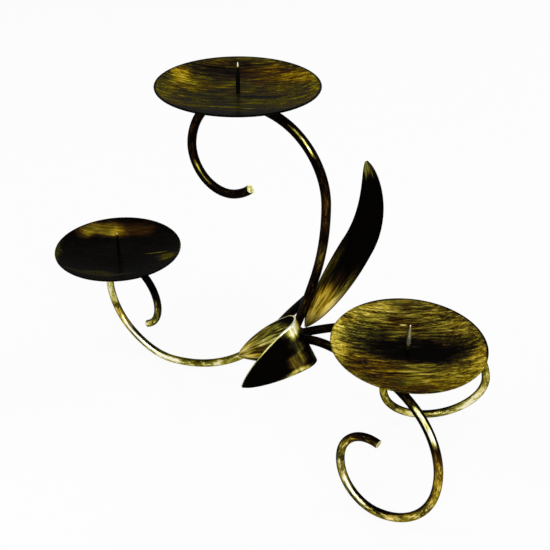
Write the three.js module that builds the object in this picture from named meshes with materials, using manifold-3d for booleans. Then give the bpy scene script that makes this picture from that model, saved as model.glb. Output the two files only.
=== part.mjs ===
// A table-top candle stand for three candles, bent from round bar.
// Lengths are millimetres and angles degrees. +Z is up and the floor is z = 0.
// +X runs from the low left dish towards the right dish, and +Y away from the viewer.
// The hub is the foot of the top arm, where the four bars meet. Until the finished stand is
// centred, the hub is at x = 0, y = 0, and the places given below are counted from it.
import * as THREE from "three";
import { mergeVertices } from "three/addons/utils/BufferGeometryUtils.js";
import Module from "manifold-3d";

const wasm = await Module();
wasm.setup();

// bar, sheet and the small gap kept between pieces that touch
const barDiameter = 6;
const sheetThickness = 1.2;
const jointGap = 0.3;
const barSides = 12;
const barStep = 4.8;

// the three equal dishes
const dishDiameter = 100;
const dishDepth = 6.5;
const dishFlatDiameter = 28;
const dishSides = 48;
const rightDishX = 75.2;
const rightDishY = 20.6;

// heights above the floor: the rim of the top dish, and the hub
const topDishHeight = 267.9;
const hubHeight = 103.5;

// the pointed pin in the middle of each dish
const spikeDiameter = 2.6;
const spikeHeight = 19;
const spikePointLength = 9;
const spikePointDiameter = 0.5;
const spikeClearRadius = 3;

// A bar is bent in one plane. Each bend is [radius, angle], and they all turn the same way.
// The bends are listed outwards from the hub, before and after the place that carries a dish,
// and heading is the bar's slope there. Each bar is then sized as a whole: the top arm to reach
// its dish, and the others to reach the floor.
const topArm = {
  azimuth: 180,
  lean: 0,
  heading: -2.4,
  bendsBefore: [[680, 4.4], [182, 16.9], [51.5, 76.8], [103.4, 13.8]],
  bendsAfter: [[40.8, 80.7], [26.5, 115.4], [37.3, 23.4]],
};
const leftArm = {
  azimuth: -4.9,
  lean: -1.8,
  heading: 6.5,
  bendsBefore: [[460, -6.2], [200, 40.6], [63.3, 49.2], [42.1, 95.7], [11.7, 45.3]],
  bendsAfter: [[126.5, -4.3], [27.6, 163.2]],
};
const frontLeg = {
  azimuth: -5.05,
  lean: 5.8,
  heading: 1.9,
  bendsBefore: [[63.7, 25]],
  bendsAfter: [[321, 5.9], [69.2, 32.3], [56.3, 59.9], [45.8, 75], [29.8, 101.3], [23.5, 98]],
};
const backLeg = {
  azimuth: 39.8,
  lean: -14.4,
  heading: 6.5,
  bendsBefore: [[119.5, 11.9]],
  bendsAfter: [[353, 5.8], [80, 79.1], [37.5, 206]],
};
// where the other bars start, from the hub, and the left arm from this far up the top arm
const frontLegStart = [5.3, -1.5, -1.9];
const backLegStart = [1.9, 4.6];
const leftArmJoinLength = 27.5;
const leftArmStart = [-3.2, 5.7, 0];

// the tall leaf, a trough that narrows to a point at both ends
const tallLeafFoot = [9.7, 0, 9.8];
const tallLeafAzimuth = 16;
const tallLeafHeading = 64.2;
const tallLeafBends = [[1300, -3.4], [77, -41.4]];
const tallLeafWidth = 19;
const tallLeafCurl = 60;
const tallLeafFacing = [0.5, -0.74, 0.45];
const tallLeafFullness = 0.55;

// the short leaf, the same kind of blank folded once across its middle
const foldedLeafFold = [10.9, -14.6, 5.2];
const foldedLeafAxis = [-0.51, -0.06, 0.858];
const foldedLeafBackWay = [-0.848, -0.128, -0.514];
const foldedLeafBackLength = 56.5;
const foldedLeafFrontLength = 43.5;
const foldedLeafBendRadius = 8.2;
const foldedLeafOpening = 48;
const foldedLeafWidth = 32.7;
const foldedLeafFullness = 0.7;
const foldedLeafBackDrop = 3.9;
const foldedLeafFrontDrop = 5.2;

const leafSlack = 0.1;
const leafTipWidth = 1.6;
const leafStepsAlong = 30;
const leafStepsAcross = 6;

// weld metal: a lump about the hub, and a small one between the left arm and the top arm
const hubWeldCentre = [2, -1, -0.5];
const hubWeldSize = [15, 17, 12];
const armWeldSize = [7, 8, 11];

// finishes: black paint brushed with antique gold
const blackGold = { color: 0x3a3319, roughness: 0.46, metalness: 0.55 };
const dishGold = { color: 0x4d4417, roughness: 0.42, metalness: 0.6 };
const leafGold = { color: 0x51461b, roughness: 0.4, metalness: 0.6 };
const weldBlack = { color: 0x1d1a12, roughness: 0.6, metalness: 0.4 };

const barRadius = barDiameter / 2;
const dishRadius = dishDiameter / 2;
const dishFlatRadius = dishFlatDiameter / 2;
const rad = THREE.MathUtils.degToRad;

function material(finish) {
  return new THREE.MeshStandardMaterial(finish);
}

function meshOf(name, geometry, finish) {
  const mesh = new THREE.Mesh(geometry, material(finish));
  mesh.name = name;
  return mesh;
}

// A geometry with nothing but positions, its shared corners joined.
function welded(geometry) {
  const plain = geometry.clone();
  for (const key of Object.keys(plain.attributes)) {
    if (key !== "position") {
      plain.deleteAttribute(key);
    }
  }
  return mergeVertices(plain, 1e-4);
}

// The centre line of one bent bar: circular bends, end to end, in a plane that may lean.
class BentBar extends THREE.Curve {
  constructor(spec, scale = 1) {
    super();
    const az = rad(spec.azimuth);
    const lean = rad(spec.lean);
    this.along = new THREE.Vector3(Math.cos(az), Math.sin(az), 0);
    this.up = new THREE.Vector3(0, Math.sin(lean), Math.cos(lean));
    this.up.applyAxisAngle(new THREE.Vector3(0, 0, 1), az);
    this.origin = new THREE.Vector3();
    this.bends = [];
    this.total = 0;
    const turnBefore = spec.bendsBefore.reduce((sum, bend) => sum + bend[1], 0);
    let heading = rad(spec.heading + turnBefore);
    let u = 0;
    let v = 0;
    for (const [radius, angle] of [...spec.bendsBefore, ...spec.bendsAfter]) {
      const turn = rad(angle);
      const r = radius * scale * Math.sign(turn);
      const length = Math.abs(r * turn);
      this.bends.push({ u, v, heading, r, length, start: this.total });
      u += r * (Math.sin(heading) - Math.sin(heading - turn));
      v += r * (Math.cos(heading - turn) - Math.cos(heading));
      heading -= turn;
      this.total += length;
    }
    this.seatAt = spec.bendsBefore.length ? this.bends[spec.bendsBefore.length].start : 0;
  }

  pointAt(distance) {
    let bend = this.bends[0];
    for (const next of this.bends) {
      if (next.start <= distance) {
        bend = next;
      }
    }
    const turned = bend.heading - (distance - bend.start) / bend.r;
    const u = bend.u + bend.r * (Math.sin(bend.heading) - Math.sin(turned));
    const v = bend.v + bend.r * (Math.cos(turned) - Math.cos(bend.heading));
    return this.origin.clone().addScaledVector(this.along, u).addScaledVector(this.up, v);
  }

  getPoint(t, target = new THREE.Vector3()) {
    return target.copy(this.pointAt(t * this.total));
  }

  samples() {
    const count = Math.ceil(this.total);
    return Array.from({ length: count + 1 }, (_, i) => this.pointAt((i / count) * this.total));
  }

  lowest() {
    return Math.min(...this.samples().map((p) => p.z));
  }

  // Moves the bar so that it starts at x, y, z. Without z it is set down on the floor.
  startAt(x, y, z) {
    this.origin.set(x, y, 0);
    this.origin.z = z ?? barRadius - this.lowest();
    return this;
  }

  // The place that carries the dish.
  seat() {
    return this.pointAt(this.seatAt);
  }
}

// A bar that starts at x, y, z and is sized so that its lowest bend rests on the floor.
function barToFloor(spec, x, y, z) {
  const drop = -new BentBar(spec).lowest();
  return new BentBar(spec, (z - barRadius) / drop).startAt(x, y, z);
}

// The bar from lay(scale) for which reach(bar) comes to a wanted value.
function barThatReaches(wanted, lay, reach) {
  let small = 0.5;
  let large = 2;
  for (let i = 0; i < 40; i += 1) {
    const middle = (small + large) / 2;
    if (reach(lay(middle)) < wanted) {
      small = middle;
    } else {
      large = middle;
    }
  }
  return lay(small);
}

// A round bar along a path. A margin makes it thicker and longer on every side.
function barGeometry(path, margin = 0) {
  const section = new THREE.Shape();
  section.absarc(0, 0, barRadius + margin, 0, 2 * Math.PI, false);
  const line = new THREE.Curve();
  const length = path.total + 2 * margin;
  line.getPoint = (t) => path.pointAt(t * length - margin);
  return new THREE.ExtrudeGeometry(section, {
    curveSegments: barSides / 2,
    steps: Math.ceil(path.total / barStep),
    bevelEnabled: false,
    extrudePath: line,
  });
}

function solidOf(geometry) {
  const flat = welded(geometry);
  return new wasm.Manifold(new wasm.Mesh({
    numProp: 3,
    vertProperties: flat.attributes.position.array,
    triVerts: new Uint32Array(flat.index.array),
  }));
}

function geometryOf(solid) {
  const mesh = solid.getMesh();
  const geometry = new THREE.BufferGeometry();
  geometry.setAttribute("position", new THREE.BufferAttribute(mesh.vertProperties, 3));
  geometry.setIndex(new THREE.BufferAttribute(mesh.triVerts, 1));
  geometry.computeVertexNormals();
  return geometry;
}

// A rounded lump of weld metal with room cut in it for the pieces it joins.
// The largest body is kept, as a thin sheet may cut a crumb off.
function weldGeometry(centre, size, cutters) {
  const lump = new THREE.IcosahedronGeometry(0.5, 4).scale(...size).translate(...centre);
  let solid = solidOf(lump);
  for (const cutter of cutters) {
    solid = solid.subtract(solidOf(cutter));
  }
  const bodies = solid.decompose();
  bodies.sort((a, b) => b.volume() - a.volume());
  return geometryOf(bodies[0]);
}

// How far the dish has risen above its flat middle at a distance r from its centre.
const dishRun = dishRadius - dishFlatRadius;
const dishCurveRadius = (dishRun * dishRun + dishDepth * dishDepth) / (2 * dishDepth);
function dishRise(r) {
  const out = Math.max(0, Math.min(r, dishRadius) - dishFlatRadius);
  return dishCurveRadius - Math.sqrt(dishCurveRadius * dishCurveRadius - out * out);
}

// A shallow round dish of one sheet thickness, its rim at z = 0.
function dishGeometry() {
  const steps = 6;
  const floorTop = -dishDepth;
  const floorUnder = floorTop - sheetThickness;
  const inner = [];
  const outer = [];
  for (let i = 0; i <= steps; i += 1) {
    const r = dishFlatRadius + (dishRun * i) / steps;
    inner.push(new THREE.Vector2(r, floorTop + dishRise(r)));
    outer.push(new THREE.Vector2(r, floorUnder + dishRise(r)));
  }
  const profile = [
    new THREE.Vector2(0, floorUnder),
    ...outer,
    ...inner.reverse(),
    new THREE.Vector2(spikeClearRadius, floorTop),
    new THREE.Vector2(0, floorTop),
  ];
  const lathe = new THREE.LatheGeometry(profile, dishSides);
  return lathe.rotateX(Math.PI / 2);
}

// A thin round pin with a long point, standing on z = 0.
function spikeGeometry() {
  const r = spikeDiameter / 2;
  const profile = [
    new THREE.Vector2(0, 0),
    new THREE.Vector2(r, 0),
    new THREE.Vector2(r, spikeHeight - spikePointLength),
    new THREE.Vector2(spikePointDiameter / 2, spikeHeight),
    new THREE.Vector2(0, spikeHeight),
  ];
  return new THREE.LatheGeometry(profile, 16).rotateX(Math.PI / 2);
}

// The rim height at which a dish rests on a bar that passes under it.
function rimHeightOver(path, x = path.seat().x, y = path.seat().y) {
  let highest = -Infinity;
  for (const p of path.samples()) {
    const r = Math.hypot(p.x - x, p.y - y);
    if (r < dishRadius + barRadius) {
      highest = Math.max(highest, p.z + barRadius + jointGap - dishRise(r));
    }
  }
  return highest + sheetThickness + dishDepth;
}

// A sheet: a flat box of unit size whose corners are carried onto a shape.
// place(s, a) gives the point in the middle of the sheet and its outward normal.
function sheetGeometry(place, thickness = sheetThickness) {
  const box = new THREE.BoxGeometry(1, 1, 1, leafStepsAcross, 1, leafStepsAlong);
  const flat = welded(box);
  const position = flat.attributes.position;
  for (let i = 0; i < position.count; i += 1) {
    const s = position.getZ(i) + 0.5;
    const a = position.getX(i) * 2;
    const { point, normal } = place(s, a);
    point.addScaledVector(normal, position.getY(i) * thickness);
    position.setXYZ(i, point.x, point.y, point.z);
  }
  flat.computeVertexNormals();
  return flat;
}

function leafHalfWidth(s, width, fullness) {
  const full = Math.sin(Math.PI * Math.min(Math.max(s, 0), 1)) ** fullness;
  return Math.max(leafTipWidth, width * full) / 2;
}

// The tall leaf, rolled along its length like a gutter that opens towards the viewer.
function tallLeafPlace(foot) {
  const spine = new BentBar({
    azimuth: tallLeafAzimuth,
    lean: 0,
    heading: tallLeafHeading,
    bendsBefore: [],
    bendsAfter: tallLeafBends,
  });
  spine.origin.copy(foot);
  const facing = new THREE.Vector3(...tallLeafFacing);
  return (s, a) => {
    const point = spine.pointAt(s * spine.total);
    const ahead = spine.pointAt(Math.min(s + 0.01, 1) * spine.total);
    const behind = spine.pointAt(Math.max(s - 0.01, 0) * spine.total);
    const along = ahead.sub(behind).normalize();
    const open = facing.clone().addScaledVector(along, -facing.dot(along)).normalize();
    const across = new THREE.Vector3().crossVectors(open, along);
    const curl = rad(tallLeafCurl) * Math.sin(Math.PI * s) ** 0.5 + rad(6);
    const half = leafHalfWidth(s, tallLeafWidth, tallLeafFullness);
    const r = half / Math.sin(curl);
    const angle = a * curl;
    point.addScaledVector(across, r * Math.sin(angle)).addScaledVector(open, r * (1 - Math.cos(angle)));
    const normal = open.clone().multiplyScalar(Math.cos(angle)).addScaledVector(across, -Math.sin(angle));
    return { point, normal };
  };
}

// The folded leaf: two straight halves joined by a tight bend, all its cross lines parallel.
function foldedLeafPlace() {
  const axis = new THREE.Vector3(...foldedLeafAxis).normalize();
  const back = new THREE.Vector3(...foldedLeafBackWay);
  back.addScaledVector(axis, -back.dot(axis)).normalize();
  const turn = rad(180 - foldedLeafOpening);
  const bendLength = foldedLeafBendRadius * turn;
  const total = foldedLeafBackLength + bendLength + foldedLeafFrontLength;
  const start = new THREE.Vector3(...foldedLeafFold);
  start.z += hubHeight;
  const way = (angle) => back.clone().negate().applyAxisAngle(axis, -angle);
  const side = (angle) => new THREE.Vector3().crossVectors(axis, way(angle));
  return (s, a) => {
    const distance = s * total;
    const inBend = Math.min(Math.max(distance - foldedLeafBackLength, 0), bendLength);
    const angle = inBend / foldedLeafBendRadius;
    const point = start.clone().addScaledVector(side(angle), foldedLeafBendRadius);
    point.addScaledVector(way(0), Math.min(distance - foldedLeafBackLength, 0));
    const beyond = Math.max(distance - foldedLeafBackLength - bendLength, 0);
    point.addScaledVector(way(turn), beyond);
    const half = leafHalfWidth(s, foldedLeafWidth, foldedLeafFullness);
    const past = distance - foldedLeafBackLength;
    const drop = past < 0
      ? (-foldedLeafBackDrop * past) / foldedLeafBackLength
      : (foldedLeafFrontDrop * past) / (total - foldedLeafBackLength);
    point.addScaledVector(axis, a * half - drop);
    return { point, normal: side(angle).negate() };
  };
}

// The smallest gap between the tall leaf, its foot at a place, and a bar.
function tallLeafGap(foot, path) {
  const place = tallLeafPlace(foot);
  const line = path.samples();
  let least = Infinity;
  for (let i = 0; i <= leafStepsAlong; i += 1) {
    for (let j = 0; j <= leafStepsAcross; j += 1) {
      const { point } = place(i / leafStepsAlong, (2 * j) / leafStepsAcross - 1);
      least = Math.min(least, ...line.map((p) => p.distanceTo(point)));
    }
  }
  return least - barRadius - sheetThickness / 2;
}

// The foot of the tall leaf, moved along x until the leaf just clears the top arm.
function seatTallLeaf(path) {
  const foot = new THREE.Vector3(...tallLeafFoot);
  foot.z += hubHeight;
  for (let i = 0; i < 6; i += 1) {
    foot.x += jointGap + leafSlack - tallLeafGap(foot, path);
  }
  return foot;
}

function makeStand() {
  const group = new THREE.Group();
  const addDish = (name, x, y, rimHeight) => {
    const dish = dishGeometry().translate(x, y, rimHeight);
    group.add(meshOf(`${name}_dish`, dish, dishGold));
    const foot = rimHeight - dishDepth + jointGap;
    group.add(meshOf(`${name}_spike`, spikeGeometry().translate(x, y, foot), blackGold));
  };
  const overRight = (path) => rimHeightOver(path, rightDishX, rightDishY);

  const top = barThatReaches(
    topDishHeight,
    (scale) => new BentBar(topArm, scale).startAt(0, 0, hubHeight),
    (path) => rimHeightOver(path),
  );
  const join = top.pointAt(leftArmJoinLength);
  const leftStart = new THREE.Vector3(...leftArmStart).add(join);
  const left = barToFloor(leftArm, ...leftStart);
  const front = barToFloor(frontLeg, frontLegStart[0], frontLegStart[1], hubHeight + frontLegStart[2]);
  const rightRim = overRight(front);
  const back = barThatReaches(
    rightRim,
    (scale) => new BentBar(backLeg, scale).startAt(...backLegStart),
    overRight,
  );

  addDish("top", top.seat().x, top.seat().y, rimHeightOver(top));
  addDish("left", left.seat().x, left.seat().y, rimHeightOver(left));
  addDish("right", rightDishX, rightDishY, rightRim);
  group.add(meshOf("top_arm", barGeometry(top), blackGold));
  group.add(meshOf("left_arm", barGeometry(left), blackGold));
  group.add(meshOf("right_front_leg", barGeometry(front), blackGold));
  group.add(meshOf("right_back_leg", barGeometry(back), blackGold));

  const tall = tallLeafPlace(seatTallLeaf(top));
  const folded = foldedLeafPlace();
  group.add(meshOf("tall_leaf", sheetGeometry(tall), leafGold));
  group.add(meshOf("folded_leaf", sheetGeometry(folded), leafGold));

  const bars = [top, left, front, back].map((path) => barGeometry(path, jointGap));
  const thick = sheetThickness + 2 * jointGap;
  const joined = [...bars, sheetGeometry(tall, thick), sheetGeometry(folded, thick)];
  const hub = new THREE.Vector3(...hubWeldCentre);
  hub.z += hubHeight;
  const between = join.clone().add(leftStart).multiplyScalar(0.5);
  group.add(meshOf("hub_weld", weldGeometry(hub, hubWeldSize, joined), weldBlack));
  group.add(meshOf("arm_weld", weldGeometry(between, armWeldSize, joined), weldBlack));
  return group;
}

// Centres the finished stand over the origin and sets it on the floor.
function centred(group) {
  const box = new THREE.Box3().setFromObject(group, true);
  const middle = box.getCenter(new THREE.Vector3());
  for (const mesh of group.children) {
    mesh.geometry.translate(-middle.x, -middle.y, -box.min.z);
  }
  return group;
}

const stand = centred(makeStand());
stand.name = "candle_stand";
export default stand;
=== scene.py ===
import math
import bpy
import numpy as np
from mathutils import Matrix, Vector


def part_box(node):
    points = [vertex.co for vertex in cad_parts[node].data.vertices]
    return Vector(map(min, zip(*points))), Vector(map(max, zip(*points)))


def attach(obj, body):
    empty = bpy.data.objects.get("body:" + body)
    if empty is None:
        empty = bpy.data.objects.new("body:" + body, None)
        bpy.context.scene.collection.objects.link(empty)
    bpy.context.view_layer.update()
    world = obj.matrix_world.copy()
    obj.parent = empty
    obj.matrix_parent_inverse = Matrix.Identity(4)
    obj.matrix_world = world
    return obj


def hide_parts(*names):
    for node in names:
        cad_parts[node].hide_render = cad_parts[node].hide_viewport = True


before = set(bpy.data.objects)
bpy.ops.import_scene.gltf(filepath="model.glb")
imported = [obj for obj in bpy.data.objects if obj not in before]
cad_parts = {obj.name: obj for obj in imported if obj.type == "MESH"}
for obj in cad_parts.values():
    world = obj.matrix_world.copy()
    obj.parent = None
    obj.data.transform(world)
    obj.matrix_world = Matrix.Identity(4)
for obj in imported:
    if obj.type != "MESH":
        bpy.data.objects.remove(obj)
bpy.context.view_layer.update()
mm = 0.001


def makeObject(name, verts, faces, attributes=None, flatFaces=(), flip=False):
    mesh = bpy.data.meshes.new(name)
    if flip:
        faces = [f[::-1] for f in faces]
    mesh.from_pydata(np.asarray(verts, float).tolist(), [], faces)
    mesh.validate()
    smooth = np.ones(len(mesh.polygons), bool)
    if len(flatFaces):
        smooth[np.array(flatFaces)] = False
    mesh.polygons.foreach_set("use_smooth", smooth)
    for key, values in (attributes or {}).items():
        attribute = mesh.attributes.new(key, "FLOAT_VECTOR", "POINT")
        attribute.data.foreach_set("vector", np.asarray(values, np.float32).ravel())
    mesh.update()
    obj = bpy.data.objects.new(name, mesh)
    bpy.context.scene.collection.objects.link(obj)
    return obj


# Four-cornered faces between neighbouring rings, each ring closed on itself.
def gridFaces(rows, columns):
    here = np.arange(columns)
    ahead = (here + 1) % columns
    start = np.arange(rows - 1)[:, None] * columns
    corners = [start + here, start + ahead, start + columns + ahead, start + columns + here]
    return np.stack(corners, -1).reshape(-1, 4).tolist()


# A closed skin over a row of rings, with one face across the first ring and one across the last.
def ringSurface(name, rings, attributes, flip=False, capFlat=True):
    rows, columns = rings.shape[:2]
    faces = gridFaces(rows, columns)
    first = tuple(range(columns - 1, -1, -1))
    last = tuple((rows - 1) * columns + j for j in range(columns))
    caps = [len(faces), len(faces) + 1] if capFlat else []
    faces += [first, last]
    perPoint = {k: v.reshape(-1, 3) for k, v in attributes.items()}
    return makeObject(name, rings.reshape(-1, 3), faces, perPoint, caps, flip)


# Moves a new surface so that the middle of its box is the middle of the CAD node's box. When
# asked to, it first makes the two the same size in the direction in which the surface is longest.
def fitToNode(rings, node, scaleToo=False):
    points = rings.reshape(-1, 3)
    low, high = (np.array(v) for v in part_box(node))
    if scaleToo:
        size = points.max(0) - points.min(0)
        axis = int(np.argmax(size))
        points = points * ((high - low)[axis] / size[axis])
    middle = (points.max(0) + points.min(0)) / 2
    return (points + ((low + high) / 2 - middle)).reshape(rings.shape)


# Each bar lies in one leaning plane. Its centre line is a chain of circular bends, each
# [radius in mm, angle in degrees], that meet without a kink, listed outwards from the hub.
topArm = {
    "azimuth": 180, "lean": 0, "heading": -2.4,
    "bendsBefore": [[680, 4.4], [182, 16.9], [51.5, 76.8], [103.4, 13.8]],
    "bendsAfter": [[40.8, 80.7], [26.5, 115.4], [37.3, 23.4]],
}
leftArm = {
    "azimuth": -4.9, "lean": -1.8, "heading": 6.5,
    "bendsBefore": [[460, -6.2], [200, 40.6], [63.3, 49.2], [42.1, 95.7], [11.7, 45.3]],
    "bendsAfter": [[126.5, -4.3], [27.6, 163.2]],
}
frontLeg = {
    "azimuth": -5.05, "lean": 5.8, "heading": 1.9,
    "bendsBefore": [[63.7, 25]],
    "bendsAfter": [[321, 5.9], [69.2, 32.3], [56.3, 59.9], [45.8, 75], [29.8, 101.3], [23.5, 98]],
}
backLeg = {
    "azimuth": 39.8, "lean": -14.4, "heading": 6.5,
    "bendsBefore": [[119.5, 11.9]],
    "bendsAfter": [[353, 5.8], [80, 79.1], [37.5, 206]],
}
bar = {
    "radius": 3.0,                          # mm
    "sides": 28,
    "step": 1.2,                            # mm between rings
    "endRound": 0.45,                       # mm, the broken edge of a cut end
    "endRings": 4,
    "dents": 0.035,                         # mm, the uneven drawn surface
    "dentWaves": (7.3, 17.0),               # mm along the bar, the quick and the slow dents
    "ridge": (0.496, -0.683, 0.537),        # the way the photographed side faces
    "backRidge": (-0.496, 0.683, 0.537),    # the same from behind
}


# Along a bend of radius r the heading falls by distance / r. So the point moves along the
# bar's plane by r times the change in its sine, and up by r times the change in its cosine.
def centreLine(spec, distances):
    azimuth = math.radians(spec["azimuth"])
    lean = math.radians(spec["lean"])
    along = np.array([math.cos(azimuth), math.sin(azimuth), 0])
    normal = np.array([-math.sin(azimuth), math.cos(azimuth), 0])
    up = np.array([0, 0, 1]) * math.cos(lean) + normal * math.sin(lean)
    across = np.cross(along, up)
    bends = spec["bendsBefore"] + spec["bendsAfter"]
    heading = math.radians(spec["heading"] + sum(b[1] for b in spec["bendsBefore"]))
    u = v = start = 0.0
    slack = 1e-9
    points = np.zeros((len(distances), 3))
    inward = np.zeros((len(distances), 3))
    for index, (radius, angle) in enumerate(bends):
        turn = math.radians(angle)
        r = radius * math.copysign(1, turn)
        length = abs(radius * turn)
        last = index == len(bends) - 1
        inside = (distances >= start - slack) & ((distances < start + length) | last)
        h = heading - (distances[inside] - start) / r
        pu = u + r * (math.sin(heading) - np.sin(h))
        pv = v + r * (np.cos(h) - math.cos(heading))
        points[inside] = pu[:, None] * along + pv[:, None] * up
        inward[inside] = np.sin(h)[:, None] * along - np.cos(h)[:, None] * up
        u += r * (math.sin(heading) - math.sin(heading - turn))
        v += r * (math.cos(heading - turn) - math.cos(heading))
        heading -= turn
        start += length
    return points, inward, across


def barLength(spec):
    return sum(abs(math.radians(a) * r) for r, a in spec["bendsBefore"] + spec["bendsAfter"])


# The cosine of the angle round the bar between a point and the line that faces a direction.
def ridgeOf(outwards, inward, across, direction):
    direction = np.array(direction)
    along = np.cross(inward, across)
    facing = direction - (along @ direction)[:, None] * along
    facing /= np.linalg.norm(facing, axis=1, keepdims=True)
    return (outwards * facing[:, None, :]).sum(-1)


# The surface is centre(s) + radius * (cos t * inward(s) + sin t * across). The radius is drawn
# in at both ends by a quarter circle, which breaks the cut edge, and everywhere by the dents:
# half of 1 + sin(s / quick + 2 t) * sin(s / slow + t) times their depth.
def makeBar(name, spec, node):
    total = barLength(spec)
    edge = bar["endRound"]
    body = np.linspace(edge, total - edge, int(total / bar["step"]))
    curve = np.linspace(0, math.pi / 2, bar["endRings"] + 1)[:-1]
    fromEnd = edge * (1 - np.cos(curve))
    inset = edge * (1 - np.sin(curve))
    distances = np.concatenate([fromEnd, body, total - fromEnd[::-1]])
    radii = bar["radius"] - np.concatenate([inset, np.zeros(len(body)), inset[::-1]])
    points, inward, across = centreLine(spec, distances)
    turn = np.linspace(0, 2 * math.pi, bar["sides"], endpoint=False)
    s, t = np.meshgrid(distances, turn, indexing="ij")
    quick, slow = bar["dentWaves"]
    wave = np.sin(s / quick + 2 * t) * np.sin(s / slow + t)
    r = radii[:, None] - bar["dents"] * (1 + wave) / 2
    outwards = np.cos(t)[..., None] * inward[:, None] + np.sin(t)[..., None] * across
    placed = fitToNode((points[:, None] + r[..., None] * outwards) * mm, node, scaleToo=True)
    section = np.stack([s, np.cos(t) * bar["radius"], np.sin(t) * bar["radius"]], -1) * mm
    ridges = np.zeros(placed.shape)
    ridges[..., 0] = ridgeOf(outwards, inward, across, bar["ridge"])
    ridges[..., 1] = ridgeOf(outwards, inward, across, bar["backRidge"])
    obj = ringSurface(name, placed, {"section": section, "ridge": ridges})
    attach(obj, "root")
    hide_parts(node)
    return obj


barSpecs = {
    "topArm": (topArm, "top_arm"),
    "leftArm": (leftArm, "left_arm"),
    "frontLeg": (frontLeg, "right_front_leg"),
    "backLeg": (backLeg, "right_back_leg"),
}
bars = {name: makeBar(name, spec, node) for name, (spec, node) in barSpecs.items()}
barLengths = {name: barLength(spec) * mm for name, (spec, node) in barSpecs.items()}
print("bar lengths in m", barLengths)
print("stage: bars")

dish = {
    "radius": 50.0, "flatRadius": 14.0, "depth": 6.5, "sheet": 1.2,   # mm
    "sides": 160, "flatRings": 14, "wallRings": 44, "edgeRings": 7,
    "pole": 0.05,               # mm, radius of the ring that closes each face
    "hammer": 0.03,             # mm, the faint unevenness of the spun sheet
    "hammerWaves": (9.0, 13.0),     # mm out from the middle
}
spike = {
    "diameter": 2.6, "height": 19.0, "pointLength": 9.0, "pointDiameter": 0.5,   # mm
    "footRound": 0.25, "footShare": 0.85,   # the foot is drawn in to this share of its width
    "shoulderRound": 0.35, "tipRound": 0.08,
    "bulge": 1.15,              # above 1 the point swells a little
    "pointStart": 0.04,         # the share of the point at which its first ring lies
    "pole": 0.04, "sides": 24, "shankRings": 9, "pointRings": 18,
}


# A surface of revolution: profile points (r, z) turned about the upright axis.
def revolve(profile, sides):
    turn = np.linspace(0, 2 * math.pi, sides, endpoint=False)
    r, z = profile[:, :1], profile[:, 1:]
    return np.stack([r * np.cos(turn), r * np.sin(turn), z + 0 * turn], -1)


# Outside the flat middle the sheet rises along a circle: R - sqrt(R * R - out * out).
def dishRise(r):
    run = dish["radius"] - dish["flatRadius"]
    curve = (run * run + dish["depth"] ** 2) / (2 * dish["depth"])
    out = np.clip(r - dish["flatRadius"], 0, run)
    return curve - np.sqrt(curve * curve - out * out)


# The profile runs out over the upper face, round the rolled edge and back under. The whole is
# lifted by a faint sin(3 t + r / a) * sin(r / b), which grows towards the rim.
def makeDish(name, node):
    half = dish["sheet"] / 2
    reach = dish["radius"] - half
    flat = np.linspace(dish["pole"], dish["flatRadius"], dish["flatRings"])
    wall = np.linspace(dish["flatRadius"], reach, dish["wallRings"])[1:]
    radii = np.concatenate([flat, wall])
    top = np.stack([radii, dishRise(radii) - dish["depth"]], 1)
    under = (top - [0, dish["sheet"]])[::-1]
    turn = np.linspace(math.pi / 2, -math.pi / 2, dish["edgeRings"] + 2)[1:-1]
    edge = np.stack([reach + half * np.cos(turn), top[-1, 1] - half + half * np.sin(turn)], 1)
    rings = revolve(np.concatenate([top, edge, under]), dish["sides"])
    angle = np.arctan2(rings[..., 1], rings[..., 0])
    r = np.hypot(rings[..., 0], rings[..., 1])
    a, b = dish["hammerWaves"]
    rings[..., 2] += dish["hammer"] * np.sin(3 * angle + r / a) * np.sin(r / b) * r / dish["radius"]
    plan = rings / dish["radius"]
    placed = fitToNode(rings * mm, node)
    obj = ringSurface(name, placed, {"dish": plan}, flip=True, capFlat=False)
    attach(obj, "root")
    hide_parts(node)
    return obj


# The profile runs from the foot up the straight shank, and narrows along t ** bulge to the tip.
def makeSpike(name, node):
    r = spike["diameter"] / 2
    tip = spike["pointDiameter"] / 2
    foot = spike["footRound"]
    shoulder = spike["height"] - spike["pointLength"]
    shankHeight = shoulder - foot - spike["shoulderRound"]
    t = np.linspace(0, 1, spike["shankRings"] + 1)[1:, None]
    shank = np.hstack([np.full(t.shape, r), foot + shankHeight * t])
    t = np.linspace(spike["pointStart"], 1, spike["pointRings"])[:, None]
    rise = (spike["pointLength"] - spike["tipRound"]) * t
    point = np.hstack([r + (tip - r) * t ** spike["bulge"], shoulder + rise])
    first = [[spike["pole"], 0], [r * spike["footShare"], 0], [r, foot]]
    profile = np.concatenate([first, shank, point, [[spike["pole"], spike["height"]]]])
    rings = revolve(profile, spike["sides"])
    placed = fitToNode(rings * mm, node)
    obj = ringSurface(name, placed, {"section": rings / spike["height"]}, flip=True, capFlat=False)
    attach(obj, "root")
    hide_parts(node)
    return obj


dishes = {key: makeDish(key + "Dish", key + "_dish") for key in ("top", "left", "right")}
spikes = {key: makeSpike(key + "Spike", key + "_spike") for key in ("top", "left", "right")}
print("stage: dishes and spikes")

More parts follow.
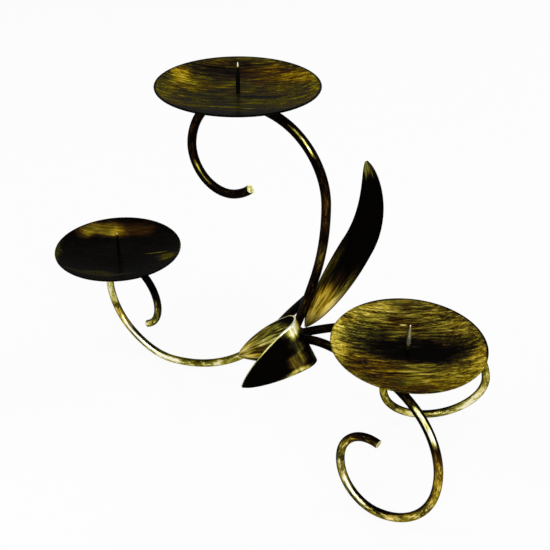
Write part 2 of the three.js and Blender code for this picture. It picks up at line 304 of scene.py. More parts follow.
# The tall leaf's bends are written as a bar's are, and the sizes of both are in mm.
tallLeaf = {
    "azimuth": 16, "lean": 0, "heading": 64.2,
    "bendsBefore": [], "bendsAfter": [[1300, -3.4], [77, -41.4]],
    "width": 19.0, "curl": 60, "leastCurl": 6, "facing": [0.5, -0.74, 0.45], "fullness": 0.55,
}
foldedLeaf = {
    "axis": [-0.51, -0.06, 0.858], "backWay": [-0.848, -0.128, -0.514],
    "backLength": 56.5, "frontLength": 43.5, "bendRadius": 8.2, "opening": 48,
    "width": 32.7, "fullness": 0.7, "backDrop": 3.9, "frontDrop": 5.2,
}
leaf = {"sheet": 1.2, "tipWidth": 1.6, "along": 150, "across": 34, "edgePoints": 5}


def unit(v):
    v = np.asarray(v, float)
    return v / np.linalg.norm(v, axis=-1, keepdims=True)


# Half the width is half of width * sin(pi s) ** fullness, and never less than the tip's.
def halfWidth(s, width, fullness):
    return np.maximum(leaf["tipWidth"], width * np.sin(math.pi * np.clip(s, 0, 1)) ** fullness) / 2


# A trough: a centre line of two bends, and at each point an arc across it that opens
# towards the facing direction. The arc's half angle is curl * sqrt(sin(pi s)) + leastCurl.
def tallLeafPlace(s, a):
    total = barLength(tallLeaf)
    station = s[:, 0]
    nearby = 0.01
    point = centreLine(tallLeaf, station * total)[0][:, None]
    ahead = centreLine(tallLeaf, np.minimum(station + nearby, 1) * total)[0]
    behind = centreLine(tallLeaf, np.maximum(station - nearby, 0) * total)[0]
    along = unit(ahead - behind)
    facing = np.array(tallLeaf["facing"])
    towards = unit(facing - (along @ facing)[:, None] * along)
    across = np.cross(towards, along)[:, None]
    towards = towards[:, None]
    fullCurl, leastCurl = math.radians(tallLeaf["curl"]), math.radians(tallLeaf["leastCurl"])
    curl = fullCurl * np.sin(math.pi * np.clip(s, 0, 1)) ** 0.5 + leastCurl
    r = (halfWidth(s, tallLeaf["width"], tallLeaf["fullness"]) / np.sin(curl))[..., None]
    angle = (a * curl)[..., None]
    point = point + r * np.sin(angle) * across + r * (1 - np.cos(angle)) * towards
    return point, towards * np.cos(angle) - across * np.sin(angle)


# Turns a direction about an axis: v cos + (axis x v) sin + axis (axis . v) (1 - cos).
def turned(v, axis, angle):
    c, k = np.cos(angle)[:, None], np.sin(angle)[:, None]
    return v * c + np.cross(axis, v) * k + axis * (axis @ v) * (1 - c)


# Two straight halves joined by a tight bend about the axis, every cross line parallel to it.
# Each half's middle drops along the axis in proportion to its distance from the bend.
def foldedLeafPlace(s, a):
    spec = foldedLeaf
    axis = unit(spec["axis"])
    back = np.array(spec["backWay"])
    back = unit(back - (back @ axis) * axis)
    turn = math.radians(180 - spec["opening"])
    bend = spec["bendRadius"] * turn
    total = spec["backLength"] + bend + spec["frontLength"]
    past = s[:, 0] * total - spec["backLength"]
    angle = np.clip(past, 0, bend) / spec["bendRadius"]
    side = np.cross(axis, turned(-back, axis, -angle))
    frontWay = turned(-back, axis, np.full(len(s), -turn))
    point = side * spec["bendRadius"] - back * np.minimum(past, 0)[:, None]
    point = point + frontWay * np.maximum(past - bend, 0)[:, None]
    drop = np.where(past < 0, -spec["backDrop"] * past / spec["backLength"],
                    spec["frontDrop"] * past / (total - spec["backLength"]))
    offset = a * halfWidth(s, spec["width"], spec["fullness"]) - drop[:, None]
    point = point[:, None] + axis * offset[..., None]
    return point, np.broadcast_to(-side[:, None], point.shape)


# The sheet is a loop of points at every station: over one face, round one edge, back over the
# other face and round the other edge. Edge points lie at half a sheet times the sine of an
# angle, and are drawn in by half a sheet times one less its cosine. The attribute holds the
# station, the way across and the face.
def makeLeaf(name, node, place):
    half = leaf["sheet"] / 2
    across = np.linspace(-1, 1, leaf["across"])
    side, level = np.ones(leaf["edgePoints"]), np.ones(leaf["across"])
    edge = np.linspace(-math.pi / 2, math.pi / 2, leaf["edgePoints"] + 2)[1:-1]
    face = np.concatenate([level, -np.sin(edge), -level, np.sin(edge)])
    inset = np.concatenate([0 * level, 1 - np.cos(edge), 0 * level, 1 - np.cos(edge)])
    s, a = np.meshgrid(np.linspace(0, 1, leaf["along"]),
                       np.concatenate([across, side, across[::-1], -side]), indexing="ij")
    point, normal = place(s, a)
    inwards = unit(point.mean(1, keepdims=True) - point)
    rings = point + normal * (face * half)[:, None] + inwards * (inset * half)[:, None]
    marks = np.stack([s, a, np.broadcast_to(face, s.shape)], -1)
    placed = fitToNode(rings * mm, node)
    obj = ringSurface(name, placed, {"leaf": marks})
    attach(obj, "root")
    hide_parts(node)
    return obj


leaves = {
    "tall": makeLeaf("tallLeaf", "tall_leaf", tallLeafPlace),
    "folded": makeLeaf("foldedLeaf", "folded_leaf", foldedLeafPlace),
}
print("stage: leaves")

weld = {
    "rows": 40, "columns": 64,
    "ripple": 0.06,         # of the lump's radius
    "pole": 0.02,           # radians from either pole to the first ring
    "paintRadius": 0.006,   # metres, the ball that the paint is laid out on
}


# A lump of the CAD lump's size, a ball whose radius is drawn in by rows of beads: ripple times
# half of 1 + sin(9 p + 3 sin 2 t) * sin(5 t + 2 p), for the angles p from the pole and t round it.
def makeWeld(name, node):
    low, high = (np.array(v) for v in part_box(node))
    polar = np.linspace(weld["pole"], math.pi - weld["pole"], weld["rows"])
    turn = np.linspace(0, 2 * math.pi, weld["columns"], endpoint=False)
    p, t = np.meshgrid(polar, turn, indexing="ij")
    beads = np.sin(9 * p + 3 * np.sin(2 * t)) * np.sin(5 * t + 2 * p)
    r = 1 - weld["ripple"] * (1 + beads) / 2
    rings = np.stack([r * np.sin(p) * np.cos(t), r * np.sin(p) * np.sin(t), r * np.cos(p)], -1)
    placed = (low + high) / 2 + rings * (high - low) / 2
    section = rings * weld["paintRadius"]
    obj = ringSurface(name, placed, {"section": section}, flip=True, capFlat=False)
    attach(obj, "root")
    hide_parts(node)
    return obj


welds = [makeWeld("hubWeld", "hub_weld"), makeWeld("armWeld", "arm_weld")]
print("stage: weld metal")


# Wraps a socket, so that the arithmetic of a material reads as arithmetic.
class Value:
    def __init__(self, tree, socket):
        self.tree = tree
        self.socket = socket

    def op(self, kind, other, flipped=False):
        pair = (other, self) if flipped else (self, other)
        return self.tree.maths(kind, *pair)

    def __add__(self, other):
        return self.op("ADD", other)

    def __radd__(self, other):
        return self.op("ADD", other, flipped=True)

    def __sub__(self, other):
        return self.op("SUBTRACT", other)

    def __rsub__(self, other):
        return self.op("SUBTRACT", other, flipped=True)

    def __mul__(self, other):
        return self.op("MULTIPLY", other)

    def __rmul__(self, other):
        return self.op("MULTIPLY", other, flipped=True)

    def __pow__(self, other):
        return self.op("POWER", other)

    def top(self, other):
        return self.op("MAXIMUM", other)

    def low(self, other):
        return self.op("MINIMUM", other)

    def clamp(self):
        return self.top(0.0).low(1.0)

    def size(self):
        return self.tree.maths("ABSOLUTE", self)

    # 0 before a, 1 beyond b and a soft step between, whichever of the two is the larger
    def step(self, a, b):
        node = self.tree.add("ShaderNodeMapRange", {"Value": self, "From Min": a, "From Max": b},
                             interpolation_type="SMOOTHSTEP")
        return Value(self.tree, node.outputs["Result"])


# The nodes of a material or of the world. Every node comes from add.
class Tree:
    def __init__(self, owner, outputKind="ShaderNodeOutputMaterial"):
        owner.use_nodes = True
        self.nodes = owner.node_tree.nodes
        self.links = owner.node_tree.links
        self.nodes.clear()
        self.output = self.add(outputKind)

    def put(self, value, socket):
        if isinstance(value, Value):
            self.links.new(value.socket, socket)
        elif isinstance(value, bpy.types.NodeSocket):
            self.links.new(value, socket)
        else:
            socket.default_value = value

    # settings are set first, then a ramp's stops, then the values or links of the sockets
    def add(self, kind, inputs=None, stops=(), **settings):
        node = self.nodes.new(kind)
        for key, value in settings.items():
            setattr(node, key, value)
        for index, (position, colour) in enumerate(stops):
            elements = node.color_ramp.elements
            element = elements[index] if index < 2 else elements.new(position)
            element.position = position
            element.color = (*colour, 1)
        for key, value in (inputs or {}).items():
            self.put(value, node.inputs[key])
        return node

    def surface(self, shader):
        self.put(shader.outputs[0], self.output.inputs["Surface"])

    def maths(self, operation, *values):
        node = self.add("ShaderNodeMath", dict(enumerate(values)), operation=operation)
        return Value(self, node.outputs[0])

    def vectorMaths(self, operation, *vectors):
        node = self.add("ShaderNodeVectorMath", dict(enumerate(vectors)), operation=operation)
        return node.outputs["Vector"]

    def attribute(self, name):
        return self.add("ShaderNodeAttribute", attribute_name=name).outputs["Vector"]

    def objectPlace(self):
        return self.add("ShaderNodeTexCoord").outputs["Object"]

    def split(self, vector):
        node = self.add("ShaderNodeSeparateXYZ", {"Vector": vector})
        return [Value(self, node.outputs[i]) for i in range(3)]

    def join(self, x, y, z):
        return self.add("ShaderNodeCombineXYZ", {"X": x, "Y": y, "Z": z}).outputs[0]

    def mapped(self, vector, scale=(1, 1, 1), rotation=(0, 0, 0), location=(0, 0, 0)):
        node = self.add("ShaderNodeMapping", {"Vector": vector, "Location": location,
                                              "Rotation": rotation, "Scale": scale})
        return node.outputs[0]

    def noise(self, vector, scale=1.0, detail=4.0, roughness=0.6, distortion=0.0):
        node = self.add("ShaderNodeTexNoise", {"Vector": vector, "Scale": scale, "Detail": detail,
                                               "Roughness": roughness, "Distortion": distortion})
        return Value(self, node.outputs["Fac"])

    # a place pushed about by a coarse noise
    def shift(self, vector, scale, amount):
        push = self.add("ShaderNodeTexNoise", {"Vector": vector, "Scale": scale, "Detail": 3.0})
        centred = self.vectorMaths("SUBTRACT", push.outputs["Color"], (0.5, 0.5, 0.5))
        scaled = self.add("ShaderNodeVectorMath", {0: centred, "Scale": amount * 2}, operation="SCALE")
        return self.vectorMaths("ADD", vector, scaled.outputs[0])

    # 1 inside an oval of a plan and 0 well outside it
    def patch(self, plan, centre, size):
        near = self.mapped(plan, scale=(1 / size[0], 1 / size[1], 0),
                           location=(-centre[0] / size[0], -centre[1] / size[1], 0))
        length = self.add("ShaderNodeVectorMath", {"Vector": near}, operation="LENGTH")
        return Value(self, length.outputs["Value"]).step(*finish["patchEdge"])

    # adds ovals to an amount of gold and a warmth. Ovals thinner than a brush mark stay straight
    def patches(self, plan, ovals, amount, warmth, wander):
        shifted = self.shift(plan, finish["wanderScale"], wander)
        for along, across, length, width, gold, warm in ovals:
            straight = width < finish["brushMark"]
            oval = self.patch(plan if straight else shifted, (along, across), (length, width))
            amount = amount + oval * gold
            warmth = warmth + oval * warm
        return amount, warmth

    def dot(self, vector, direction):
        way = tuple(float(v) for v in unit(direction))
        node = self.add("ShaderNodeVectorMath", {0: vector, 1: way}, operation="DOT_PRODUCT")
        return Value(self, node.outputs["Value"])

    def ramp(self, value, stops):
        return self.add("ShaderNodeValToRGB", {"Fac": value}, stops).outputs["Color"]

    def mix(self, factor, a, b):
        node = self.add("ShaderNodeMix", {0: factor, 6: a, 7: b}, data_type="RGBA", clamp_factor=True)
        return node.outputs[2]

    def bump(self, height, strength, distance):
        node = self.add("ShaderNodeBump", {"Height": height, "Strength": strength, "Distance": distance})
        return node.outputs["Normal"]


# Black paint, dry-brushed with antique gold. The colour follows two numbers. The amount of
# gold, which also carries the painted reflections, highlights and shade, goes from black through
# brown and olive to pale yellow, nearly white at the top where the painted highlights reach, and
# the warmth chooses between a green-grey gold and an orange one.
finish = {
    "coolStops": [
        (0.00, (0.0008, 0.0008, 0.0007)),
        (0.18, (0.0035, 0.0032, 0.0018)),
        (0.34, (0.0160, 0.0145, 0.0055)),
        (0.50, (0.0700, 0.0625, 0.0100)),
        (0.66, (0.2000, 0.1800, 0.0200)),
        (0.82, (0.5000, 0.4500, 0.0700)),
        (1.00, (0.9500, 0.9300, 0.7200)),
    ],
    "warmStops": [
        (0.00, (0.0010, 0.0007, 0.0005)),
        (0.18, (0.0085, 0.0035, 0.0014)),
        (0.34, (0.0330, 0.0135, 0.0032)),
        (0.50, (0.1000, 0.0560, 0.0050)),
        (0.66, (0.2700, 0.1800, 0.0100)),
        (0.82, (0.6000, 0.4100, 0.0260)),
        (1.00, (0.9000, 0.6900, 0.1500)),
    ],
    "metalFrom": (0.22, 0.50),              # amounts of gold between which it turns to metal
    "goldMetal": 0.90, "blackSpecular": 0.004, "bump": 0.6,
    "edgeTint": (0.40, 0.37, 0.22, 1),      # keeps the sky out of the dark metal seen aslant
    "patchEdge": (1.45, 0.45),              # a patch is gone, and whole, at these shares of its size
    "wanderScale": 2.6, "brushMark": 0.03,  # patches narrower than a brush mark stay straight
}


# build gives back the amount, the warmth, the roughness, a height and its depth in metres.
def paintMaterial(name, build):
    material = bpy.data.materials.new(name)
    tree = Tree(material)
    amount, warmth, roughness, height, depth = build(tree)
    amount = amount.clamp()
    colour = tree.mix(warmth.clamp(), tree.ramp(amount, finish["coolStops"]),
                      tree.ramp(amount, finish["warmStops"]))
    tree.surface(tree.add("ShaderNodeBsdfPrincipled", {
        "Base Color": colour, "Metallic": amount.step(*finish["metalFrom"]) * finish["goldMetal"],
        "Roughness": roughness, "Specular IOR Level": finish["blackSpecular"],
        "Specular Tint": finish["edgeTint"], "Normal": tree.bump(height, finish["bump"], depth),
    }))
    return material


# Coarse and thin brush streaks that run along the first axis of a place.
def streaks(tree, place, length, width):
    broad = tree.mapped(place, scale=(1 / length, 1 / width, 1 / width))
    narrow = tree.mapped(place, scale=(3 / length, 5 / width, 5 / width))
    coarse = tree.noise(broad, detail=5, roughness=0.65, distortion=0.4)
    thin = tree.noise(narrow, detail=4, roughness=0.7, distortion=0.2)
    return coarse - 0.5, thin - 0.5


# Gold on a dish, partly dry-brushed and partly painted reflection: its dark and bright zones
# stand for what the dish reflects, and a few patches are a painted sheen, a painted highlight
# line and a painted glint. The patches are placed in the dish's own plan, in dish radii, along
# the brush and across it: [along, across, half length, half width, gold added, warmth added].
# The rim takes its own amount, as painted shade, where along * rimFrom[0] + across * rimFrom[1]
# passes rimFrom[2] to rimFrom[3]. The coarse and the thin numbers are the strengths of the two
# kinds of brush streak.
dishPaint = {
    "top": {
        "base": 0.38, "warmth": 0.24, "coarse": 1.50, "thin": 1.20, "roughness": 0.26,
        "patches": [
            [-0.74, 0.42, 0.13, 0.18, 0.24, 0.65], [-0.58, 0.24, 0.20, 0.16, 0.12, 0.30],
            [-0.88, -0.15, 0.12, 0.40, 0.08, -0.15], [-0.20, 0.66, 0.40, 0.22, -0.22, 0.30],
            [0.36, 0.55, 0.34, 0.26, 0.02, 0.75], [0.72, 0.40, 0.24, 0.24, 0.12, 0.50],
            [0.92, 0.10, 0.12, 0.40, 0.12, -0.05], [0.42, -0.30, 0.36, 0.12, 0.13, -0.60],
            [0.30, -0.10, 0.27, 0.026, -0.70, 0.0], [-0.10, -0.25, 0.45, 0.36, -0.06, -0.35],
            [0.0, -1.00, 1.20, 0.36, -0.45, -0.20],
        ],
        "rim": -0.75, "rimFrom": [0.0, 1.0, -3.0, -2.0],
    },
    "left": {
        "base": 0.02, "warmth": 0.45, "coarse": 0.60, "thin": 0.60, "roughness": 0.28,
        "patches": [
            [-0.42, 0.68, 0.34, 0.20, 0.52, 0.25], [-0.10, 0.58, 0.18, 0.14, 0.30, 0.35],
            [0.20, 0.70, 0.32, 0.18, 0.26, 0.65], [-0.66, 0.50, 0.14, 0.10, 0.30, 0.15],
            # the first patch on the next line is a painted sheen
            [0.80, -0.20, 0.18, 0.13, 0.46, -0.90], [-0.25, -0.66, 0.52, 0.10, 0.34, -0.90],
            [-0.93, -0.15, 0.06, 0.40, 0.36, -0.80], [0.985, 0.12, 0.03, 0.26, 0.56, -0.90],
            # a thin painted highlight line
            [0.60, 0.00, 0.22, 0.009, 0.62, -0.90],
        ],
        "rim": -0.30, "rimFrom": [0.0, 1.0, -0.2, 0.5],
    },
    "right": {
        "base": 0.45, "warmth": 0.45, "coarse": 1.60, "thin": 1.50, "roughness": 0.34,
        "patches": [
            [-0.50, 0.74, 0.36, 0.18, 0.17, 0.05], [-0.90, 0.10, 0.09, 0.50, 0.26, 0.10],
            [-0.05, 0.50, 0.36, 0.14, -0.08, 0.25], [0.66, 0.50, 0.34, 0.34, 0.04, 0.0],
            [0.12, 0.02, 0.62, 0.24, -0.50, 0.0], [0.30, -0.12, 0.50, 0.14, -0.26, 0.0],
            [-0.52, 0.20, 0.34, 0.26, -0.14, -0.35], [-0.50, -0.42, 0.36, 0.26, -0.12, 0.55],
            [0.40, -0.60, 0.48, 0.24, 0.12, 0.15], [-0.10, -0.86, 0.40, 0.10, -0.14, 0.60],
            # the last patch on the next line is a painted glint near the spike's tip
            [0.86, -0.34, 0.13, 0.34, 0.18, 0.15], [0.0, 0.52, 0.05, 0.014, 0.70, -0.6],
        ],
        "rim": -0.70, "rimFrom": [0.6, 0.8, 0.1, 0.5],
    },
}
dishBrush = {
    "angle": 36.0,                  # degrees from +X, the way the brush went over the dishes
    "streak": (0.42, 0.042),        # length and width, in dish radii
    "wander": 0.16, "blotches": (3.1, 1.6),     # size and strength of the changes of warmth
    "rimBand": (0.968, 0.984),      # where the painted shade of the rim starts and is full, in dish radii
    "brightest": 0.86, "relief": 0.0002,        # metres
}


def dishMaterial(key):
    paint = dishPaint[key]

    def build(tree):
        turnBack = -math.radians(dishBrush["angle"])
        plan = tree.mapped(tree.attribute("dish"), rotation=(0, 0, turnBack))
        coarse, thin = streaks(tree, plan, *dishBrush["streak"])
        amount = coarse * paint["coarse"] + thin * paint["thin"] + paint["base"]
        scale, strength = dishBrush["blotches"]
        warmth = (tree.noise(plan, scale, 3) - 0.5) * strength + paint["warmth"]
        # the patches add brushed gold and the painted reflection, sheen, highlight line and glint
        amount, warmth = tree.patches(plan, paint["patches"], amount, warmth, dishBrush["wander"])
        x, y = tree.split(plan)[:2]
        r = (x * x + y * y) ** 0.5
        ax, ay, low, high = paint["rimFrom"]
        # painted shade darkens the rim
        rim = r.step(*dishBrush["rimBand"]) * (x * ax + y * ay).step(low, high)
        amount = (amount + rim * paint["rim"]).low(dishBrush["brightest"])
        roughness = thin * 0.35 + coarse * 0.2 + paint["roughness"]
        return amount, warmth, roughness, coarse + thin, dishBrush["relief"]
    return paintMaterial(key + "DishPaint", build)


for key, obj in dishes.items():
    obj.data.materials.append(dishMaterial(key))


# Gold on a bar, partly dry-brushed and partly painted reflection of the white floor: it starts
# below a height, lies on the faces that look forwards and down, and painted shade leaves the
# upper sides and the edges dark. Stretches are lighter or darker all round:
# [distance from the hub, half length, gold added, warmth added]. On the ridge that looks
# forwards the metal shows in flecks, partly wear and partly painted glints, and painted
# highlights lie along stretches of it: [distance, half length, gold added, how far round, as a
# cosine]. The lower numbers are gold added on those faces as painted floor reflection, and the
# upper numbers gold taken away as painted shade. Heights and distances are in metres.
barPaint = {
    "topArm": {
        "base": 0.03, "from": (0.17, 0.12), "gold": 0.06, "lower": 0.04, "flecksAndGlints": 0.28, "warmth": 0.7,
        "stretches": [[0.073, 0.012, 0.22, -0.4], [0.100, 0.016, 0.14, 0.3]],
        "paintedHighlights": [[0.149, 0.015, 0.90, 0.95], [0.281, 0.014, 0.70, 0.95]], "upper": 0.32,
    },
    "leftArm": {
        "base": 0.08, "from": (0.090, 0.050), "gold": 0.50, "lower": 0.22, "flecksAndGlints": 0.24, "warmth": 0.00,
        "stretches": [[0.376, 0.034, -0.42, 0.0], [0.408, 0.010, -0.20, -0.1], [0.260, 0.016, -0.22, 0.5]],
        "paintedHighlights": [[0.218, 0.046, 0.80, 0.92]], "upper": 0.18,
    },
    "frontLeg": {
        "base": 0.06, "from": (0.085, 0.045), "gold": 0.36, "lower": 0.20, "flecksAndGlints": 0.30, "warmth": 0.45,
        "stretches": [[0.145, 0.024, 0.14, 0.6], [0.262, 0.022, -0.10, -0.4], [0.298, 0.018, -0.22, 0.2]],
        "paintedHighlights": [[0.110, 0.018, 1.00, 0.86], [0.240, 0.017, 0.60, 0.92]], "upper": 0.34,
    },
    "backLeg": {
        "base": 0.08, "from": (0.105, 0.080), "gold": 0.42, "lower": 0.25, "flecksAndGlints": 0.15, "warmth": 0.20,
        "stretches": [[0.285, 0.036, -0.22, -0.1], [0.205, 0.020, 0.10, -0.2]],
        "paintedHighlights": [], "upper": 0.34,
    },
}
# the faces that take the painted floor reflection (front, back) and the painted shade (upper)
barFaces = {
    "front": (0.58, -0.80, -0.16), "back": (-0.58, 0.80, -0.16), "upper": (-0.30, 0.42, 0.86),
}
barBrush = {
    "streak": (0.011, 0.0032), "relief": 0.00012,       # metres
    "slowScale": (45, 60, 60),          # the slow changes along and round a bar, per metre
    "endCut": (0.0003, 0.0001),         # metres before the end, where the bare cut starts
    "cutGold": 0.90, "edgeShade": 0.26,
}


def barMaterial(key):
    paint = barPaint[key]
    total = barLengths[key]

    def build(tree):
        section = tree.attribute("section")
        distance = tree.split(section)[0]
        coarse, thin = streaks(tree, section, *barBrush["streak"])
        slow = tree.noise(tree.mapped(section, scale=barBrush["slowScale"]), detail=3) - 0.5
        z = tree.split(tree.objectPlace())[2]
        normal = tree.add("ShaderNodeNewGeometry").outputs["Normal"]
        front, back, upper = (tree.dot(normal, v) for v in barFaces.values())
        ridge, backRidge = tree.split(tree.attribute("ridge"))[:2]
        # gold below a height and on the forwards and downwards faces is partly painted floor reflection;
        # the upper faces and the edges get painted shade
        low = (z + slow * 0.05).step(*paint["from"])
        lower = front.step(0.05, 0.75).top(back.step(0.2, 0.9) * 0.7)
        edges = ridge.step(0.66, 0.30).low(backRidge.step(0.66, 0.30))
        amount = low * paint["gold"] + low * lower * paint["lower"] + paint["base"]
        shade = upper.step(0.50, 0.80) * paint["upper"] + edges * barBrush["edgeShade"]
        amount = amount - low * shade
        marks = (thin * 1.2 + coarse).step(0.02, 0.20)
        # flecks on the forwards ridge: partly wear, partly painted glints
        amount = amount + ridge.step(0.72, 0.95) * marks * paint["flecksAndGlints"]
        amount = amount + (coarse * 1.3 + slow * 1.3 + thin) * (low * 0.75 + 0.10)
        warmth = slow * 1.4 + coarse * 1.5 + paint["warmth"]
        for centre, half, gold, warm in paint["stretches"]:
            near = (distance - centre).size().step(half, half * 0.5)
            amount = amount + near * gold
            warmth = warmth + near * warm
        # painted highlights: near-white stripes on the forwards ridge
        for centre, half, gold, edge in paint["paintedHighlights"]:
            near = (distance - centre).size().step(half, half * 0.45) * ridge.step(edge, edge + 0.05)
            amount = amount + near * (coarse * 1.2 + 0.9) * gold
            warmth = warmth - near
        endFrom, endTo = barBrush["endCut"]
        end = distance.step(total - endFrom, total - endTo)
        amount = amount.top(end * (barBrush["cutGold"] + coarse))
        height = coarse * 0.6 + thin * 0.4
        return amount, warmth - end, thin * 0.3 + 0.27, height, barBrush["relief"]
    return paintMaterial(key + "Paint", build)


for key, obj in bars.items():
    obj.data.materials.append(barMaterial(key))


# Spikes are painted, with a bright bare band that is partly worn steel and partly a painted
# highlight: near the tip on the top and the left spike, and over most of the right one.
spikePaint = {
    "top": {"base": 0.16, "bareAndHighlight": (0.80, 0.92), "gold": 0.80},
    "left": {"base": 0.06, "bareAndHighlight": (0.88, 0.97), "gold": 0.95},
    "right": {"base": 0.30, "bareAndHighlight": (0.12, 0.32), "gold": 0.90},
}
spikeBrush = {"scale": (9, 9, 2.5), "relief": 0.0001}


def spikeMaterial(key):
    paint = spikePaint[key]

    def build(tree):
        section = tree.attribute("section")
        z = tree.split(section)[2]
        coarse = tree.noise(tree.mapped(section, scale=spikeBrush["scale"])) - 0.5
        # the bare band: worn steel and painted highlight
        bareAndHighlight = (z + coarse * 0.2).step(*paint["bareAndHighlight"])
        amount = bareAndHighlight * paint["gold"] + coarse * 0.3 + paint["base"]
        return amount, coarse * 0.5 - 0.3, coarse * 0.2 + 0.26, coarse, spikeBrush["relief"]
    return paintMaterial(key + "SpikePaint", build)


for key, obj in spikes.items():
    obj.data.materials.append(spikeMaterial(key))


# Gold on a leaf, in patches of [station, way across, half length, half width, gold added,
# warmth added]; on the folded leaf a few of them are painted highlights. The station runs from
# 0 at the foot to 1 at the tip, and the way across from -1 to 1, over the half of the width. The
# streaks are [length, width] in stations, and the marks are their strength behind the fold and
# ahead of it.
leafPaint = {
    "tall": {
        "base": 0.02, "warmth": 0.30, "streaks": (0.30, 0.040), "marks": (1.7, 1.7),
        "patches": [
            [0.37, 0.74, 0.17, 0.36, 0.50, -0.10], [0.16, 0.05, 0.13, 0.85, 0.62, 1.20],
            [0.32, -0.05, 0.09, 0.42, 0.28, 0.40], [0.25, -0.82, 0.21, 0.32, 0.74, 0.05],
            [0.03, 0.20, 0.08, 1.00, 0.50, 0.90], [0.98, 0.10, 0.055, 1.20, 0.44, -0.70],
            [0.55, 0.90, 0.12, 0.10, 0.26, -0.20],
        ],
    },
    "folded": {
        "base": 0.02, "warmth": 0.25, "streaks": (0.35, 0.030), "marks": (1.9, 0.75),
        "patches": [
            # the first two patches are painted highlights, at the apex of the fold and down the bend
            [0.605, 0.86, 0.070, 0.42, 0.84, -0.60], [0.640, 0.20, 0.034, 0.50, 0.34, -0.50],
            [0.670, -0.50, 0.055, 0.42, 0.44, 0.30], [0.700, -0.95, 0.090, 0.18, 0.62, -0.20],
            [0.565, -0.60, 0.020, 0.35, 0.26, 0.0], [0.80, -1.00, 0.080, 0.07, 0.40, -0.10],
            [0.22, 0.0, 0.20, 1.60, 0.44, 0.0], [0.03, 0.0, 0.08, 1.60, 0.36, 0.20],
            [0.19, -0.25, 0.10, 0.30, -0.12, 0.50], [0.30, 0.45, 0.13, 0.30, 0.12, -0.40],
            [0.40, 0.70, 0.06, 0.30, 0.20, -0.30],
        ],
    },
}
leafBrush = {
    "wander": 0.05, "relief": 0.0003,
    "turnAt": (0.50, 0.56),         # the stations between which the marks turn, at the fold
    "edgeHighlightGold": 0.85, "edgeHighlightCool": 0.5,
}


# Marks run along the tall leaf and the back half of the folded one, and across its front.
def leafMaterial(key):
    paint = leafPaint[key]

    def build(tree):
        s, a, face = tree.split(tree.attribute("leaf"))
        length, width = paint["streaks"]
        coarse, thin = streaks(tree, tree.join(s, a * 0.15, face * 0.05), length, width)
        front = s.step(*leafBrush["turnAt"])
        if key == "folded":
            other = streaks(tree, tree.join(a * 0.2, s, face * 0.05), length, width)
            coarse, thin = (one + (two - one) * front for one, two in zip((coarse, thin), other))
        amount, warmth = tree.patches(tree.join(s, a, 0.0), paint["patches"],
                                      coarse * 0.1 + paint["base"],
                                      coarse * 2.0 + paint["warmth"], leafBrush["wander"])
        behind, ahead = paint["marks"]
        marks = front * (ahead - behind) + behind
        amount = amount + (coarse + thin) * amount.step(0.08, 0.40) * marks
        if key == "folded":
            # painted highlight along the sheet's edges and along one long edge of the front half
            frontEdgeHighlight = a.step(0.91, 0.97) * s.step(0.55, 0.60) * s.step(0.92, 0.80)
            edgeHighlight = face.size().step(0.98, 0.90).top(frontEdgeHighlight)
            amount = amount + edgeHighlight * leafBrush["edgeHighlightGold"]
            warmth = warmth - edgeHighlight * leafBrush["edgeHighlightCool"]
        return amount, warmth, thin * 0.3 + 0.34, coarse + thin, leafBrush["relief"]
    return paintMaterial(key + "LeafPaint", build)


for key, obj in leaves.items():
    obj.data.materials.append(leafMaterial(key))

weldFinish = {"lumps": 900, "relief": 0.0006}       # lumps per metre, and metres


def weldMaterial():
    def build(tree):
        lumps = tree.noise(tree.attribute("section"), weldFinish["lumps"]) - 0.5
        return lumps * 0.4 + 0.05, lumps + 0.5, lumps * 0.3 + 0.5, lumps, weldFinish["relief"]
    return paintMaterial("weldPaint", build)


weldPaint = weldMaterial()
for obj in welds:
    obj.data.materials.append(weldPaint)
print("stage: finish")

studio = {
    "ambient": 0.56,                        # the world's light on the object
    "floorShade": 0.09,                     # how much of the object's shadow shows on the white floor
    "floorHalf": 3.0, "floorDrop": 0.0002,  # metres
    "floorWhite": [(0.0, (0.90, 0.90, 0.90)), (1.0, (0.93, 0.93, 0.93))],
    "floorGrain": 40,                       # per metre
    "white": (1, 1, 1, 1),
}


# 1 for what the camera, a reflection or a clear body sees, and 0 for the light that falls.
def seenRays(tree):
    path = tree.add("ShaderNodeLightPath")
    kinds = ("Is Camera Ray", "Is Glossy Ray", "Is Transmission Ray")
    direct, glossy, through = (Value(tree, path.outputs[kind]) for kind in kinds)
    return direct.top(glossy).top(through)


def makeFloor():
    half, z = studio["floorHalf"], -studio["floorDrop"]
    verts = [(-half, -half, z), (half, -half, z), (half, half, z), (-half, half, z)]
    obj = makeObject("floor", verts, [(0, 1, 2, 3)])
    material = bpy.data.materials.new("floorWhite")
    tree = Tree(material)
    grain = tree.noise(tree.objectPlace(), studio["floorGrain"], 3)
    diffuse = tree.add("ShaderNodeBsdfDiffuse", {"Color": tree.ramp(grain, studio["floorWhite"])})
    glow = tree.add("ShaderNodeEmission", {"Color": studio["white"], "Strength": 1.0})
    seen = seenRays(tree) * (1 - studio["floorShade"])
    tree.surface(tree.add("ShaderNodeMixShader", {0: seen, 1: diffuse.outputs[0], 2: glow.outputs[0]}))
    obj.data.materials.append(material)


def makeWorld():
    world = bpy.data.worlds.new("studio")
    bpy.context.scene.world = world
    tree = Tree(world, "ShaderNodeOutputWorld")
    soft = tree.add("ShaderNodeBackground", {"Color": studio["white"], "Strength": studio["ambient"]})
    seen = tree.add("ShaderNodeBackground", {"Color": studio["white"], "Strength": 1.0})
    tree.surface(tree.add("ShaderNodeMixShader", {0: seenRays(tree), 1: soft.outputs[0],
                                                  2: seen.outputs[0]}))


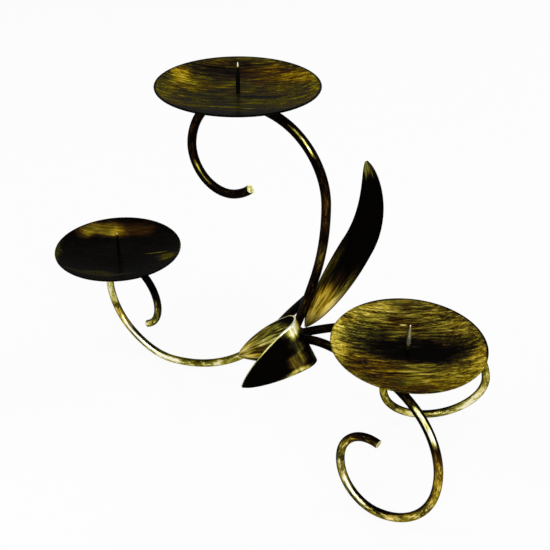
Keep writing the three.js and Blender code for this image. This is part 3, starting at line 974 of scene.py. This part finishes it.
# An object's matrix with the given place, whose axes are the given sideways, up and backwards.
def placeMatrix(side, up, back, place):
    matrix = Matrix.Identity(4)
    for row in range(3):
        matrix[row][0], matrix[row][1], matrix[row][2] = side[row], up[row], back[row]
        matrix[row][3] = place[row]
    return matrix


def makeLamp(name, place, target, size, power):
    lamp = bpy.data.lights.new(name, "AREA")
    lamp.shape = "RECTANGLE"
    lamp.size, lamp.size_y = size
    lamp.energy = power
    obj = bpy.data.objects.new(name, lamp)
    bpy.context.scene.collection.objects.link(obj)
    back = unit(np.array(place) - np.array(target))
    side = unit(np.cross([0, 0, 1], back))
    obj.matrix_world = placeMatrix(side, np.cross(back, side), back, place)


# name, place, what it points at, size in metres, power in watts
lamps = [
    ["frontLamp", (0.36, -0.46, 0.53), (0, 0, 0.12), (0.16, 0.16), 0.9],
    ["keyLamp", (-0.9, -1.2, 1.5), (0, 0, 0.12), (0.7, 0.7), 9.0],
    ["fillLamp", (1.4, -0.5, 1.0), (0, 0, 0.12), (0.9, 0.9), 4.0],
    ["backLamp", (0.3, 1.5, 1.3), (0, 0, 0.15), (0.9, 0.5), 5.0],
]
makeFloor()
makeWorld()
for entry in lamps:
    makeLamp(*entry)

camera = {
    "place": (0.32662, -0.42110, 0.45300),          # metres
    "right": (0.80556, 0.59244, 0.00911),
    "forward": (-0.49594, 0.68260, -0.53675),
    "focalPixels": 880.0, "imagePixels": 550.0,
    "sensor": 36.0, "clipStart": 0.01,              # mm, and metres
}


def makeCamera():
    data = bpy.data.cameras.new("camera")
    data.sensor_width = camera["sensor"]
    data.sensor_fit = "HORIZONTAL"
    data.lens = camera["focalPixels"] / camera["imagePixels"] * camera["sensor"]
    data.clip_start = camera["clipStart"]
    obj = bpy.data.objects.new("camera", data)
    bpy.context.scene.collection.objects.link(obj)
    forward = unit(camera["forward"])
    right = unit(np.array(camera["right"]) - np.dot(camera["right"], forward) * forward)
    obj.matrix_world = placeMatrix(right, np.cross(right, forward), -forward, camera["place"])
    bpy.context.scene.camera = obj


makeCamera()
bpy.context.scene.view_settings.view_transform = "Standard"
print("stage: studio")

bpy.context.view_layer.update()
